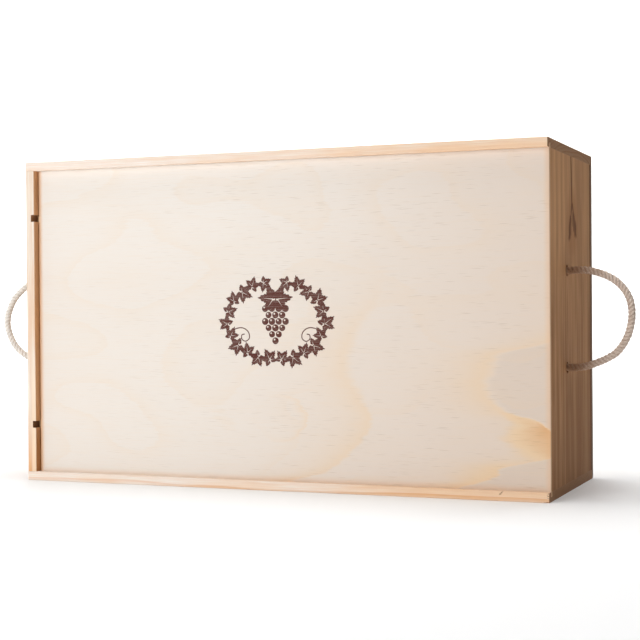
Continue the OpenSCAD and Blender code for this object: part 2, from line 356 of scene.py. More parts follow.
def grow(name, base, tree, **values):
    """A plain mesh object named name: what the tree makes of the object base, which is used up."""
    modifier = base.modifiers.new("tree", "NODES")
    modifier.node_group = tree
    for item in tree.interface.items_tree:
        if item.item_type == "SOCKET" and item.in_out == "INPUT" and item.name in values:
            modifier[item.identifier] = values[item.name]
    bpy.context.view_layer.update()
    graph = bpy.context.evaluated_depsgraph_get()
    mesh = bpy.data.meshes.new_from_object(base.evaluated_get(graph), depsgraph=graph)
    mesh.name = name
    data = base.data
    bpy.data.objects.remove(base)
    (bpy.data.curves if isinstance(data, bpy.types.Curve) else bpy.data.meshes).remove(data)
    made = bpy.data.objects.new(name, mesh)
    bpy.context.scene.collection.objects.link(made)
    print(f"{name}: {len(mesh.vertices)} points, {len(mesh.polygons)} faces")
    return made


def paint(red, green, blue):
    """A colour from the numbers of a picture editor, 0 to 255, as Blender's light values."""
    return (*[(c / 255 / 12.92 if c < 10.5 else ((c / 255 + 0.055) / 1.055) ** 2.4)
        for c in (red, green, blue)], 1.0)


# %% [markdown]
# ## Rope fibre
#
# The rope is pale natural fibre. Its yarns run nearly along the rope and cross the strands at a slant,
# so they are painted in the stored yarn coordinates: noise that is long along the rope and short round
# it. Noise lays patches of darker dirt, and the hollows between the strands get the same colour as
# painted shade, while light catches the crowns. Near its two holes the rope is painted brown, as shade
# with some rub dirt. The left rope stands in the light, so it gets a paler, lit copy of the fibre: painted
# light.

# %% Mix the rope's finish
def principled(name, roughness, gloss=0.3):
    """A new material, its wiring and its shader."""
    made = bpy.data.materials.new(name)
    made.use_nodes = True
    w = Wiring(made.node_tree)
    shader = made.node_tree.nodes["Principled BSDF"]
    shader.inputs["Roughness"].default_value = roughness
    shader.inputs["Specular IOR Level"].default_value = gloss
    return made, w, shader


def connect(w, shader, colour, height, strength, depth, rough=None):
    """Joins a finish to its shader: its colour, its bumps, depth metres deep, and its roughness if given."""
    bump = w.node("ShaderNodeBump", {"Strength": strength, "Distance": depth, "Height": height})
    w.tree.links.new(colour, shader.inputs["Base Color"])
    w.tree.links.new(bump.outputs[0], shader.inputs["Normal"])
    if rough is not None:
        w.tree.links.new(rough, shader.inputs["Roughness"])


def rope_finish(name, dark, light, dirt_and_shade, rub_and_shade):
    """Twisted fibre, dark to light, with dirt, and painted shade in its hollows and near its holes."""
    made, w, shader = principled(name, 0.9, 0.15)
    yarn, crown, root = [w.node("ShaderNodeAttribute", attribute_name=stored).outputs
        for stored in ("yarn", "crown", "root")]
    strands = w.noise(w.stretch(yarn["Vector"], (6.0, 6.0, 1.6)), 1.0, 4.0, 0.7)
    worn = w.noise(w.stretch(yarn["Vector"], (1.0, 1.0, 0.12)))
    colour = w.mix(w.step(strands, 0.42, 0.58), dark, light)
    colour = w.mix(w.step(worn, 0.45, 0.75, 0.0, 0.35), colour, dirt_and_shade)
    # painted shade in the hollows between the strands
    colour = w.mix(w.step(crown["Fac"], 0.8, 0.96, 0.45, 0.0), colour, dirt_and_shade)
    # painted shade near the holes, with some rub dirt
    colour = w.mix(w.step(root["Fac"], 0.1, 0.28, 0.85, 0.0), colour, rub_and_shade)
    connect(w, shader, colour, strands, 0.6, 0.35 * MM)
    shader.inputs["Sheen Weight"].default_value = 0.04
    shader.inputs["Sheen Roughness"].default_value = 0.6
    return made


rope_fibre = rope_finish("rope_fibre", paint(180, 158, 142), paint(240, 224, 211), paint(156, 130, 111),
    paint(150, 108, 72))
# a paler, lit copy of the fibre for the left rope, which stands in the light: painted light
lit_fibre = rope_finish("rope_fibre_lit", paint(212, 204, 196), paint(250, 246, 240), paint(192, 180, 168),
    paint(186, 158, 132))
print("finishes:", rope_fibre.name, lit_fibre.name)

# %% [markdown]
# ## The two handles
#
# Each rope is one mesh from knot to knot.

# %% Lay the ropes
def lay_rope(name, line, fibre, loop_node, seed):
    """A rope along line in the given fibre, which replaces the CAD model's loop node, now hidden."""
    made = grow(name, line_object([line]), rope_tree, Material=fibre, Seed=seed)
    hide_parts(loop_node)
    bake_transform(made)
    return made


rope_right = lay_rope("rope_handle_right", rope_line_right, rope_fibre,
    "rope_loop_right", 3)
rope_left = lay_rope("rope_handle_left", rope_line_left, lit_fibre,
    "rope_loop_left", 5)

# %% [markdown]
# ## The knots inside
#
# A stopper knot holds each rope end against the inner face of its board. A long overhand knot has a
# neat formula: three short polynomials of one number t. We scale it to the size of a knot pulled tight,
# lead its near end into the hole and let its far end stick out as a cut tail.

# %% Tie the knots
KNOT_LONG, KNOT_WIDE, KNOT_HIGH = 0.42, 2.7, 2.0  # millimetres for one unit of the formula
KNOT_IN = 7.2  # from the board's inner face to the knot's middle
PULLED_TIGHT = {"Rope Radius": 2.9 * MM, "Lay Length": 10 * MM}


def knot_line(end, side):
    """The line of one overhand knot, from the hole inwards, at one end of the box."""
    t_last, count = 2.02, 30
    hole = [(-11.5, 0, 0), (-9, 0, 0)]
    way = []
    for k in range(1, count + 1):
        t = -t_last + 2 * t_last * k / count
        way.append((KNOT_LONG * (t ** 5 - 10 * t), KNOT_WIDE * (t ** 3 - 3 * t),
            KNOT_HIGH * (t ** 4 - 4 * t * t + 2)))
    centre, height = BOARD_FACE - BOARD_T - KNOT_IN, MIDDLE_Z + side * HALF_PITCH
    points = [Vector((end * (centre - inward), ROPE_Y + across, height + up)) * MM
        for inward, across, up in hole + way]
    return smooth_line(points, 0.6 * MM)[0]


def tie_knots(name, end, node, seed):
    lines = [knot_line(end, side) for side in (1, -1)]
    made = grow(name, line_object(lines), rope_tree, Material=rope_fibre, Seed=seed, **PULLED_TIGHT)
    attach(made, "box")
    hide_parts(node)
    return made


knots_right = tie_knots("rope_knots_right", 1, "rope_ends_right", 7)
knots_left = tie_knots("rope_knots_left", -1, "rope_ends_left", 9)

# %% [markdown]
# Both ropes are laid, each from knot to knot.

print("declared", rope_right.name, rope_left.name)

# %% [markdown]
# ## The floor
#
# A studio sweep is a floor that curves up into a wall, so that no edge shows behind the box. We build
# it as one smooth sheet: a profile of two straight runs and a quarter circle, drawn out sideways.

# %% Lay the floor
def sweep_sheet():
    """The floor and its wall, in metres; bend is the radius between them."""
    bend, back, top, half, front = 0.9, 2.6, 3.2, 6.0, -6.0
    profile = [(front, 0.0), (0.0, 0.0), (back - bend, 0.0)]
    profile += [(back - bend + bend * math.sin(a), bend - bend * math.cos(a))
        for a in [math.radians(6 * k) for k in range(1, 15)]]
    profile += [(back, bend), (back, top)]
    points = [(x, y, z) for y, z in profile for x in (-half, half)]
    faces = [(2 * k, 2 * k + 1, 2 * k + 3, 2 * k + 2) for k in range(len(profile) - 1)]
    mesh = bpy.data.meshes.new("floor")
    mesh.from_pydata(points, [], faces)
    mesh.shade_smooth()
    made = bpy.data.objects.new("floor", mesh)
    bpy.context.scene.collection.objects.link(made)
    return made


floor = sweep_sheet()
floor_finish, w, shader = principled("pale_floor", 0.8)
shader.inputs["Base Color"].default_value = (0.92, 0.92, 0.92, 1.0)
floor.data.materials.append(floor_finish)
print("floor:", len(floor.data.polygons), "faces")

# %% [markdown]
# ## The light
#
# Five soft square lamps stand round the box, and none of them shows itself to the camera. The front one
# stands a little to the left and lights the lid, so the right end lies in shade. The top one hangs high
# over the box and lights its rims. Two small ones lift the left end and the upper part of the right end
# a little, and the last one whitens the wall. A faint even glow fills the rest of the room.

# %% Put up the lights
def soft_light(name, place, target, size, power, spread=180, colour=(1.0, 1.0, 1.0)):
    """A square lamp of size metres and power watts at place, aimed at target."""
    data = bpy.data.lights.new(name, "AREA")
    data.shape, data.size, data.energy, data.color = "SQUARE", size, power, colour
    data.spread = math.radians(spread)
    made = bpy.data.objects.new(name, data)
    made.location = place
    made.rotation_euler = (Vector(target) - Vector(place)).to_track_quat("-Z", "Y").to_euler()
    made.visible_camera = False  # else its white square shows in views from behind
    bpy.context.scene.collection.objects.link(made)
    return made


soft_light("front_light", (-0.6, -2.0, 0.6), (0.0, -0.1, 0.165), 1.2, 26, colour=(0.975, 0.985, 0.98))
soft_light("top_light", (-0.2, 0.25, 2.3), (-0.2, 0.25, 0.0), 1.8, 55)
soft_light("left_light", (-1.15, -0.1, 0.5), (-0.33, 0.0, 0.17), 0.5, 2)
soft_light("side_light", (0.9, -0.05, 1.0), (0.3, -0.05, 0.28), 0.4, 0.9)
soft_light("wall_light", (-1.3, 1.2, 1.8), (-1.3, 2.4, 0.3), 1.6, 40, spread=120)
room = bpy.data.worlds.new("room")
room.use_nodes = True
background = room.node_tree.nodes["Background"].inputs
background["Color"].default_value = (1.0, 1.0, 1.0, 1.0)
background["Strength"].default_value = 0.09
bpy.context.scene.world = room
bpy.context.scene.view_settings.view_transform = "Standard"

# %% [markdown]
# ## Sawn pine
#
# A pine board shows its yearly rings: pale wood that darkens slowly to a thin orange line and then
# starts pale again, like the teeth of a saw. Rings lie round the heart of the tree, so their distance
# from that line tells how far apart they show on a board. The group takes a place in millimetres with
# the grain along X and the heart at the origin, and gives the rings, the fine fibres and a height.

# %% Build the sawn grain group
def build_sawn_grain():
    tree = bpy.data.node_groups.new("sawn_grain", "ShaderNodeTree")
    socket(tree, "Place", "Vector")
    socket(tree, "Ring Width", "Float", 3.0)
    socket(tree, "Wander", "Float", 6.0)
    for name in ("Rings", "Fibres", "Height"):
        socket(tree, name, "Float", side="OUTPUT")
    w = Wiring(tree)
    given = w.node("NodeGroupInput").outputs
    bend = w.noise(w.stretch(given["Place"], (0.006, 0.02, 0.02)), output="Color")
    bend = w.vector("SUBTRACT", bend, (0.5, 0.5, 0.5))
    moved = w.vector("ADD", given["Place"], w.stretch(bend, given["Wander"]))
    from_heart = w.stretch(moved, (0.0, 1.0, 1.0))
    far = w.node("ShaderNodeVectorMath", {0: from_heart}, operation="LENGTH").outputs["Value"]
    year = w.over(far, given["Ring Width"])
    growth = w.math("FRACT", year)
    one = w.node("ShaderNodeTexWhiteNoise", {"W": w.math("FLOOR", year)}, noise_dimensions="1D").outputs[0]
    late = w.times(w.step(growth, 0.25, 0.9), w.step(growth, 0.93, 1.0, 1.0, 0.0))
    rings = w.times(late, w.step(one, 0.0, 1.0, 0.25, 1.0))
    fibres = w.noise(w.stretch(given["Place"], (0.025, 1.3, 1.3)), 1.0, 4.0, 0.65)
    height = w.minus(fibres, w.times(rings, 0.25))
    w.node("NodeGroupOutput", {"Rings": rings, "Fibres": fibres, "Height": height})
    return tree


sawn_grain = build_sawn_grain()
print("sawn grain:", len(sawn_grain.nodes), "nodes")

# %% [markdown]
# ## Peeled pine
#
# Plywood's faces are peeled off a turning log like paper off a roll, nearly along the rings. The saw
# teeth of colour are still there, but they are stretched to broad clouds with one sharp edge. Short dark
# dashes are cut resin canals, a few millimetres long and thinner than a hair, and always along the grain.

# %% Build the peeled grain group
def build_peeled_grain():
    tree = bpy.data.node_groups.new("peeled_grain", "ShaderNodeTree")
    socket(tree, "Place", "Vector")
    socket(tree, "Cloud Size", "Float", 1.0)
    for name in ("Clouds", "Fibres", "Dashes", "Height"):
        socket(tree, name, "Float", side="OUTPUT")
    w = Wiring(tree)
    given = w.node("NodeGroupInput").outputs
    wide = w.stretch(given["Place"], given["Cloud Size"])
    ragged = w.noise(w.stretch(given["Place"], (0.03, 0.6, 0.6)), 1.0, 3.0, 0.6)
    hills = w.noise(w.stretch(wide, (0.0045, 0.009, 0.009)), 1.0, 1.5, 0.45)
    year = w.plus(w.times(hills, 7.0), w.times(ragged, 0.22))
    growth = w.math("FRACT", year)
    clouds = w.times(w.math("POWER", growth, 2.0), w.step(growth, 0.94, 1.0, 1.0, 0.0))
    fibres = w.noise(w.stretch(given["Place"], (0.03, 1.1, 1.1)), 1.0, 4.0, 0.6)
    x, y, z = w.split(given["Place"])
    row = w.math("FLOOR", w.times(z, 1.5))
    moved = w.node("ShaderNodeTexWhiteNoise", {"W": row}, noise_dimensions="1D").outputs[0]
    brick = w.join(w.plus(w.times(x, 0.05), w.times(moved, 40.0)), w.times(y, 0.3), w.times(z, 1.5))
    cells = w.node("ShaderNodeTexVoronoi", {"Vector": brick, "Scale": 1.0})
    lot = w.split(cells.outputs["Color"])[0]
    crowd = w.noise(w.stretch(given["Place"], (0.01, 0.02, 0.02)), 1.0, 1.0, 0.5)
    kept = w.step(w.plus(lot, w.times(crowd, 0.8)), 1.04, 1.32)
    dashes = w.times(kept, w.step(cells.outputs["Distance"], 0.08, 0.36, 1.0, 0.0))
    height = w.minus(fibres, w.times(dashes, 0.6))
    w.node("NodeGroupOutput", {"Clouds": clouds, "Fibres": fibres, "Dashes": dashes, "Height": height})
    return tree


peeled_grain = build_peeled_grain()
print("peeled grain:", len(peeled_grain.nodes), "nodes")

# %% [markdown]
# ## Handling
#
# Edges that hands and shelves touch are rubbed: a little darker and smoother. Blender's Bevel node
# answers how a surface would turn if its edges were rounded, and where that differs from the flat face,
# there is an edge. Noise breaks it up, because wear is never even.

# %% Build the rubbed edge group
def build_rubbed_edges():
    tree = bpy.data.node_groups.new("rubbed_edges", "ShaderNodeTree")
    socket(tree, "Width", "Float", 1.2 * MM)
    socket(tree, "Rubbed", "Float", side="OUTPUT")
    w = Wiring(tree)
    given = w.node("NodeGroupInput").outputs
    rounded = w.node("ShaderNodeBevel", {"Radius": given["Width"]}, samples=4).outputs[0]
    flat = w.node("ShaderNodeNewGeometry").outputs["True Normal"]
    alike = w.node("ShaderNodeVectorMath", {0: rounded, 1: flat}, operation="DOT_PRODUCT").outputs["Value"]
    broken = w.noise(w.place(), 90.0, 3.0, 0.6)
    edge = w.step(alike, 0.75, 1.0, 1.0, 0.0)
    w.node("NodeGroupOutput", {"Rubbed": w.times(edge, w.step(broken, 0.35, 0.65, 0.3, 1.0))})
    return tree


rubbed_edges = build_rubbed_edges()


def part_of(w, group, **inputs):
    """A group's node in a material, with its own values."""
    made = w.node("ShaderNodeGroup", node_tree=group)
    for name, value in inputs.items():
        entry = made.inputs[name.replace("_", " ")]
        if isinstance(value, bpy.types.NodeSocket):
            w.tree.links.new(value, entry)
        else:
            entry.default_value = value
    return made.outputs


print("rubbed edges:", len(rubbed_edges.nodes), "nodes")

# %% [markdown]
# ## The boards' finish
#
# The four boards are bare sawn pine. The grain of the long sides runs along the box and that of the end
# boards runs up it, so each material first turns the place until the grain lies along X, and moves the
# tree's heart to where it was for that board. A slow noise makes one end of a board a bit redder. Where
# a board's end shows, the fibres are cut across and the wood is much darker.

# %% Mix the pine for the boards
END_GRAIN = (paint(142, 100, 64), paint(106, 68, 38))  # between the rings, and in them


def pine_finish(name, axes, heart, ring_width, change, pale, red, late, marks=None, strength=1.0):
    """Bare pine. axes says which of X, Y and Z run along the grain and across it, heart where the tree's
    heart lies in millimetres across it, and change where along the grain pale wood ends and red begins."""
    made, w, shader = principled(name, 0.75, 0.12)
    along, *across = axes
    at = w.split(w.stretch(w.place(), 1 / MM))
    turned = w.join(at[along], *[w.minus(at[axis], middle) for axis, middle in zip(across, heart)])
    grain = part_of(w, sawn_grain, Place=turned, Ring_Width=ring_width)
    slow = w.noise(w.stretch(turned, (0.009, 0.1, 0.1)))
    redder = w.plus(w.step(at[along], *change), w.step(slow, 0.3, 0.7, -0.35, 0.35), clamp=True)
    colour = w.mix(redder, pale, red)
    rings = w.times(grain["Rings"], w.step(redder, 0.0, 1.0, 0.35 * strength, 0.7 * strength))
    colour = w.mix(rings, colour, late)
    colour = w.mix(w.step(grain["Fibres"], 0.35, 0.7, 0.3, 0.0), colour, late)
    if marks:
        colour = marks(w, at, colour)
    end_grain = w.step(w.math("ABSOLUTE", w.facing()[along]), 0.6, 0.9)
    dark = w.mix(w.times(grain["Rings"], 0.45), *END_GRAIN)
    colour = w.mix(w.times(end_grain, 0.9), colour, dark)
    rub_and_shade = part_of(w, rubbed_edges)["Rubbed"]
    colour = w.mix(w.times(rub_and_shade, 0.15), colour, late)
    connect(w, shader, colour, grain["Height"], 0.35, 0.25 * MM, w.step(rub_and_shade, 0.0, 1.0, 0.75, 0.55))
    return made


# %% [markdown]
# The right end board has a mark where a branch once grew: a dark line comes down from the top, splits,
# and ends in two small spots. Thin strokes draw it, each soft at its sides, and soft ovals, darkest in
# their middles, draw the spots and the stain round them. The same board has dark and pale streaks from
# top to foot, and painted shade darkens it towards its back, most along its back edge. Noise that
# changes slowly upwards bends the lines.

# %% Draw the branch mark
def oval(w, a, b, at_a, at_b, wide_a, wide_b):
    """1 in the middle of an oval and 0 outside."""
    u = w.over(w.minus(a, at_a), wide_a)
    v = w.over(w.minus(b, at_b), wide_b)
    return w.step(w.plus(w.times(u, u), w.times(v, v)), 0.0, 1.0, 1.0, 0.0)


def stroke(w, y, z, top, foot, wide):
    """1 along a soft line from top to foot, each given as (y, z), and 0 beside it."""
    down = w.over(w.minus(top[1], z), top[1] - foot[1])
    middle = w.plus(top[0], w.times(down, foot[0] - top[0]))
    beside = w.apart(y, middle)
    length = w.times(w.step(down, -0.04, 0.04), w.step(down, 0.85, 1.03, 1.0, 0.0))
    return w.times(length, w.step(beside, 0.2 * wide, wide, 1.0, 0.0))


# Streaks: middle and half width in Y, in millimetres, and for the dark ones the share of brown
# The last dark streak, at 92, is painted shade along the back edge
DARK_STREAKS = [(-80, 12, 0.16), (-60, 7, 0.2), (-41, 6, 0.14), (-24, 9, 0.22), (36, 18, 0.14),
    (92, 10, 0.5)]
PALE_STREAKS = [(-70, 6), (-50, 5), (-32, 5), (13, 9), (66, 14)]
# Strokes: top and foot, each (y, z), and half width. Spots and stains: middle and half sizes in Y and Z
BRANCH_STROKES = [((-1.5, 334), (4, 266), 3.8), ((3.5, 278), (-5, 252), 3.4), ((-3, 264), (-11, 239), 4.2),
    ((-5, 261), (-6, 240), 3.6), ((0, 262), (-2, 244), 2.2), ((5, 277), (15, 256), 3.4),
    ((11, 267), (23, 243), 4.2), ((13, 265), (17, 243), 3.8), ((9, 266), (11, 248), 2.4),
    ((7, 268), (6, 253), 1.8)]
BRANCH_SPOTS = [(-8, 249, 5, 12), (19, 252, 6, 11)]
BRANCH_STAIN, LOW_STAIN = (5, 256, 30, 44), (-18, 168, 3, 36)


def branch_mark(w, at, colour):
    """The right end board's streaks and painted shade at its back, with the branch's lines, spots and stains.
    """
    _, y, z = at
    ragged = w.noise(w.join(w.times(y, 0.4), w.times(z, 0.025), 0.0), 1.0, 3.0, 0.6)
    bent = w.plus(y, w.times(w.minus(ragged, 0.5), 5.0))
    for middle, wide, share in DARK_STREAKS:
        beside = w.apart(bent, middle)
        broken = w.step(w.noise(w.join(middle, 0.0, w.times(z, 0.012))), 0.3, 0.6, 0.35, 1.0)
        colour = w.mix(w.times(w.step(beside, 0.0, wide, share, 0.0), broken), colour, paint(128, 80, 46))
    # painted shade: darker towards the back of the board, darkest along its back edge
    colour = w.mix(w.step(bent, -90.0, 80.0, 0.0, 0.3), colour, paint(118, 78, 48))
    colour = w.mix(w.step(y, 84.0, 92.0, 0.0, 0.75), colour, paint(80, 48, 26))
    for middle, wide in PALE_STREAKS:
        beside = w.apart(bent, middle)
        colour = w.mix(w.step(beside, 0.0, wide, 0.16, 0.0), colour, paint(232, 180, 126))
    mark = w.most(*[stroke(w, bent, z, *line) for line in BRANCH_STROKES],
        *[oval(w, bent, z, *spot) for spot in BRANCH_SPOTS])
    colour = w.mix(w.times(oval(w, bent, z, *BRANCH_STAIN), 0.4), colour, paint(140, 84, 42))
    colour = w.mix(w.times(mark, 0.75), colour, paint(84, 48, 16))
    return w.mix(w.times(oval(w, bent, z, *LOW_STAIN), 0.4), colour, paint(110, 66, 34))


print("branch mark:", len(BRANCH_STROKES), "strokes and", len(BRANCH_SPOTS), "spots")

# %% [markdown]
# The long sides and the left board have marks of their own. The rims are nicked near the right end.
# Outer faces that stand in the full light get a little painted shade, or a studio lamp bleaches them. The
# left board shows its inner face beside the lid: it gets a deep orange painted shade there, darker low
# down and darkest in the two slots for the cradles, and a painted highlight low on its front edge.

# %% Mark the rims and the left board
# painted shade for outer faces that stand in the full light
SHADE_TONE = paint(216, 208, 198)
# Middle and half sizes in X and Z; the nick leans, so its X is that of the foot of its slant
NICK, END_DENT, END_DIRT = (224, 7.2, 1.5, 2.4), (274.8, 6, 2.2, 4), (273, 0.3, 4, 1.4)


def rim_marks(w, at, colour):
    """Small nicks and dirt on the rims near the right end, and painted shade on the outer faces."""
    x, y, z = at
    leaning = w.minus(x, w.times(z, 0.9))
    nicks = w.most(oval(w, leaning, z, *NICK), oval(w, x, z, *END_DENT), oval(w, x, z, *END_DIRT))
    broken = w.step(w.noise(w.join(w.times(x, 0.3), y, z), 1.0, 3.0, 0.6), 0.4, 0.6)
    front = w.step(y, -99.0, -96.0, 0.85, 0.0)
    # painted shade on the outer top and bottom faces
    level = w.step(w.math("ABSOLUTE", w.facing()[2]), 0.6, 0.9)
    outside = w.times(level, w.step(w.apart(z, MIDDLE_Z), 158.0, 163.0))
    colour = w.mix(outside, colour, SHADE_TONE, "MULTIPLY")
    return w.mix(w.times(nicks, broken, front), colour, paint(112, 60, 24))


def warm_inside(w, at, colour):
    """The left board: painted shade outside, inside and in its slots, and a painted highlight low in front.
    """
    x, y, z = at
    across = w.facing()[0]
    # painted shade on the outer face
    colour = w.mix(w.step(across, -0.9, -0.6, 1.0, 0.0), colour, SHADE_TONE, "MULTIPLY")
    # painted shade on the inner face beside the lid: deep orange, darker low down
    inner = w.step(across, 0.3, 0.8)
    deep = w.mix(w.step(z, 46.0, 66.0, 0.6, 0.0), paint(196, 138, 84), paint(142, 88, 44))
    colour = w.mix(w.times(inner, 0.85), colour, deep)
    # painted shade in the slots for the cradles
    slots = w.times(inner, w.step(x, -268.0, -266.5, 1.0, 0.0))
    colour = w.mix(w.times(slots, w.step(z, 100.0, 240.0, 0.7, 0.4)), colour, paint(92, 58, 32))
    # painted highlight low on the front edge
    front = w.times(w.step(y, -99.95, -99.6, 1.0, 0.0), w.step(z, 80.0, 140.0, 0.75, 0.0))
    return w.mix(w.times(front, w.step(x, -271.2, -268.8)), colour, paint(240, 216, 190))


print("rim marks at X", [spot[0] for spot in (NICK, END_DENT, END_DIRT)])

# %% [markdown]
# Now each board gets its own cut of the tree: which way its grain runs, where the heart was, how wide
# the rings are, and its three colours. The cradles are cut from a darker, warmer board.

# %% Dress the boards
long_side_finish = pine_finish("pine_long_sides", (0, 1, 2), (30, -70), 3.4, (-200, 300),
    paint(240, 232, 224), paint(239, 208, 178), paint(222, 168, 120), rim_marks)
left_end_finish = pine_finish("pine_left_end", (2, 0, 1), (-330, 20), 3.0, (110, 10),
    paint(234, 224, 212), paint(222, 168, 122), paint(214, 160, 110), warm_inside)
# The right end board's colours hold painted shade: darker than the other boards, and darker towards its foot
right_end_finish = pine_finish("pine_right_end", (2, 0, 1), (235, 30), 3.6, (20, 330),
    paint(156, 112, 74), paint(206, 156, 110), paint(138, 94, 58), branch_mark, 0.25)
cradle_finish = pine_finish("pine_cradles", (0, 1, 2), (60, 20), 2.4, (-275, 275),
    paint(226, 192, 148), paint(218, 178, 136), paint(196, 150, 100))


def dress(finish, *names):
    """Gives CAD nodes a finish."""
    for name in names:
        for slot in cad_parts[name].material_slots:
            slot.material = finish
    print(finish.name, "on", ", ".join(names))


dress(long_side_finish, "long_side_lower", "long_side_upper")
dress(left_end_finish, "end_board_left")
dress(right_end_finish, "end_board_right")
dress(cradle_finish, *[f"cradle_{side}_{row}" for side in ("lower", "upper")
    for row in ("back", "middle", "front")])

# %% [markdown]
# ## The plywood's finish
#
# The lid is what the viewer sees first, so its clouds are drawn from given lines. Two long edges, each a line
# from the lid's foot to its top, mark where one year's wood ends: left of the line the colour grows to
# tan and orange, and right of it pale wood starts again. A Float Curve node holds such a line, and the
# noise that makes the edges ragged runs along the grain. A small eye of grain sits low on the left, and
# painted shade lays a thin grey past the second edge and over the lid's lower part.

# %% Draw the lid's clouds
BOX_H, CHART_W = 330, 700  # a curve's chart: the box's height along it, and its whole width in X


def drawn_line(w, z, spots):
    """x of a line through spots (z, x), all in millimetres, at height z."""
    curve = w.node("ShaderNodeFloatCurve", {"Value": w.over(z, BOX_H, clamp=True)})
    shape = curve.mapping.curves[0]
    scaled = [(height / BOX_H, x / CHART_W + 0.5) for height, x in spots]
    shape.points[0].location, shape.points[-1].location = scaled[0], scaled[-1]
    for spot in scaled[1:-1]:
        shape.points.new(*spot)
    curve.mapping.update()
    return w.times(w.minus(curve.outputs[0], 0.5), CHART_W)


def year_edge(w, past, fade, soft):
    """Strong just before an edge, where past is 0, and nothing after it; past is in millimetres."""
    before = w.math("EXPONENT", w.over(w.math("MINIMUM", past, 0.0), fade))
    return w.times(before, w.step(past, w.times(soft, -1.0), soft, 1.0, 0.0))


EDGE_A = [(0, -10), (15, 40), (21, 60), (43, 87), (68, 103), (78, 101), (96, 91), (112, 82), (159, 91),
    (182, 112), (198, 119), (223, 109), (240, 78), (262, -40), (330, -330)]
EDGE_B = [(0, 180), (11, 192), (17, 217), (28, 230), (35, 254), (42, 282), (53, 300), (62, 282), (72, 266),
    (76, 254), (80, 237), (86, 227), (96, 220), (109, 216), (126, 224), (134, 228), (139, 252), (144, 276),
    (152, 296), (166, 322), (190, 342), (330, 350)]
# Middle and half sizes in X and Z of the eye of grain, and of the dark streak, stain and orange wedge
EYE, STREAK, STAIN, WEDGE = (9, 70, 27, 23), (266, 65, 40, 9), (212, 20, 40, 22), (275, 57, 52, 24)


def lid_clouds(w, at, clouds):
    """How tan or orange the lid is, drawn or else from the peeled grain's clouds, and its painted grey shade.
    """
    x, _, z = at
    ragged = w.noise(w.join(w.times(x, 0.02), w.times(z, 0.1), 0.0), 1.0, 4.0, 0.7)
    x = w.plus(x, w.times(w.minus(ragged, 0.5), 26.0))
    soft = w.step(z, 70.0, 110.0, 4.0, 10.0)
    first = year_edge(w, w.minus(x, drawn_line(w, z, EDGE_A)), 42.0, soft)
    past = w.minus(x, drawn_line(w, z, EDGE_B))
    second = year_edge(w, past, 48.0, soft)
    low = w.step(z, 120.0, 260.0, 1.0, 0.25)

    u, v = w.over(w.minus(x, EYE[0]), EYE[2]), w.over(w.minus(z, EYE[1]), EYE[3])
    rim = w.minus(w.math("SQRT", w.plus(w.times(u, u), w.times(v, v))), 1.0)
    inside = w.math("EXPONENT", w.over(w.math("MINIMUM", rim, 0.0), 0.3))
    eye = w.times(inside, w.step(rim, -0.05, 0.12, 1.0, 0.0), w.step(x, -20.0, 40.0, 0.08, 0.3))
    drawn = w.most(w.times(first, low, 0.33), w.times(second, low, 0.4), eye)

    # The darkest wood: a streak and a stain before the second edge, and the orange wedge at the right
    rising = w.minus(z, w.times(w.minus(262, x), 0.42))
    streak, stain = w.times(oval(w, x, rising, *STREAK), 0.9), w.times(oval(w, x, z, *STAIN), 0.3)
    deep = w.times(w.most(streak, stain), second)
    wedge = w.times(oval(w, x, z, *WEDGE), w.step(past, -5.0, 3.0, 0.9, 0.0))
    drawn = w.plus(drawn, w.times(w.most(deep, wedge), 0.62))

    # painted shade: grey past the second edge and over the lid's lower part
    after = w.step(past, -4.0, 8.0, 0.0, 0.2)
    low_shade = w.times(w.step(z, 180.0, 280.0, 0.09, 0.0), w.step(x, 60.0, 240.0, 1.0, 0.3))
    return w.most(drawn, w.times(clouds, 0.16)), w.most(after, low_shade)


print("year edges:", len(EDGE_A), "and", len(EDGE_B), "points")

# %% [markdown]
# The plywood itself is the same for lid, bottom panel and, later, the print: pale wood that turns darker
# and warmer towards its lower right as painted shade, then the clouds, the fibres and the dashes on top.
# Its cut edges show the plies, whose core is darker. The lid is warmer near its two ends and its foot; at
# its left end this is painted light, warm as if thrown back from the end board.

# %% Mix the plywood
PAINTED_SHADE_GREY, RESIN, WARM_EDGE_TONE = paint(190, 170, 152), paint(158, 130, 100), paint(226, 178, 132)
# Where the lid is warmer: from and to, in millimetres, and the share of the warm tone at both
LEFT_PAINTED_LIGHT, RIGHT_TAN, FOOT_TAN = (-264.5, -258.5, 0.95, 0.0), (268, 275, 0.0, 0.45), (9, 15, 0.3, 0.0)


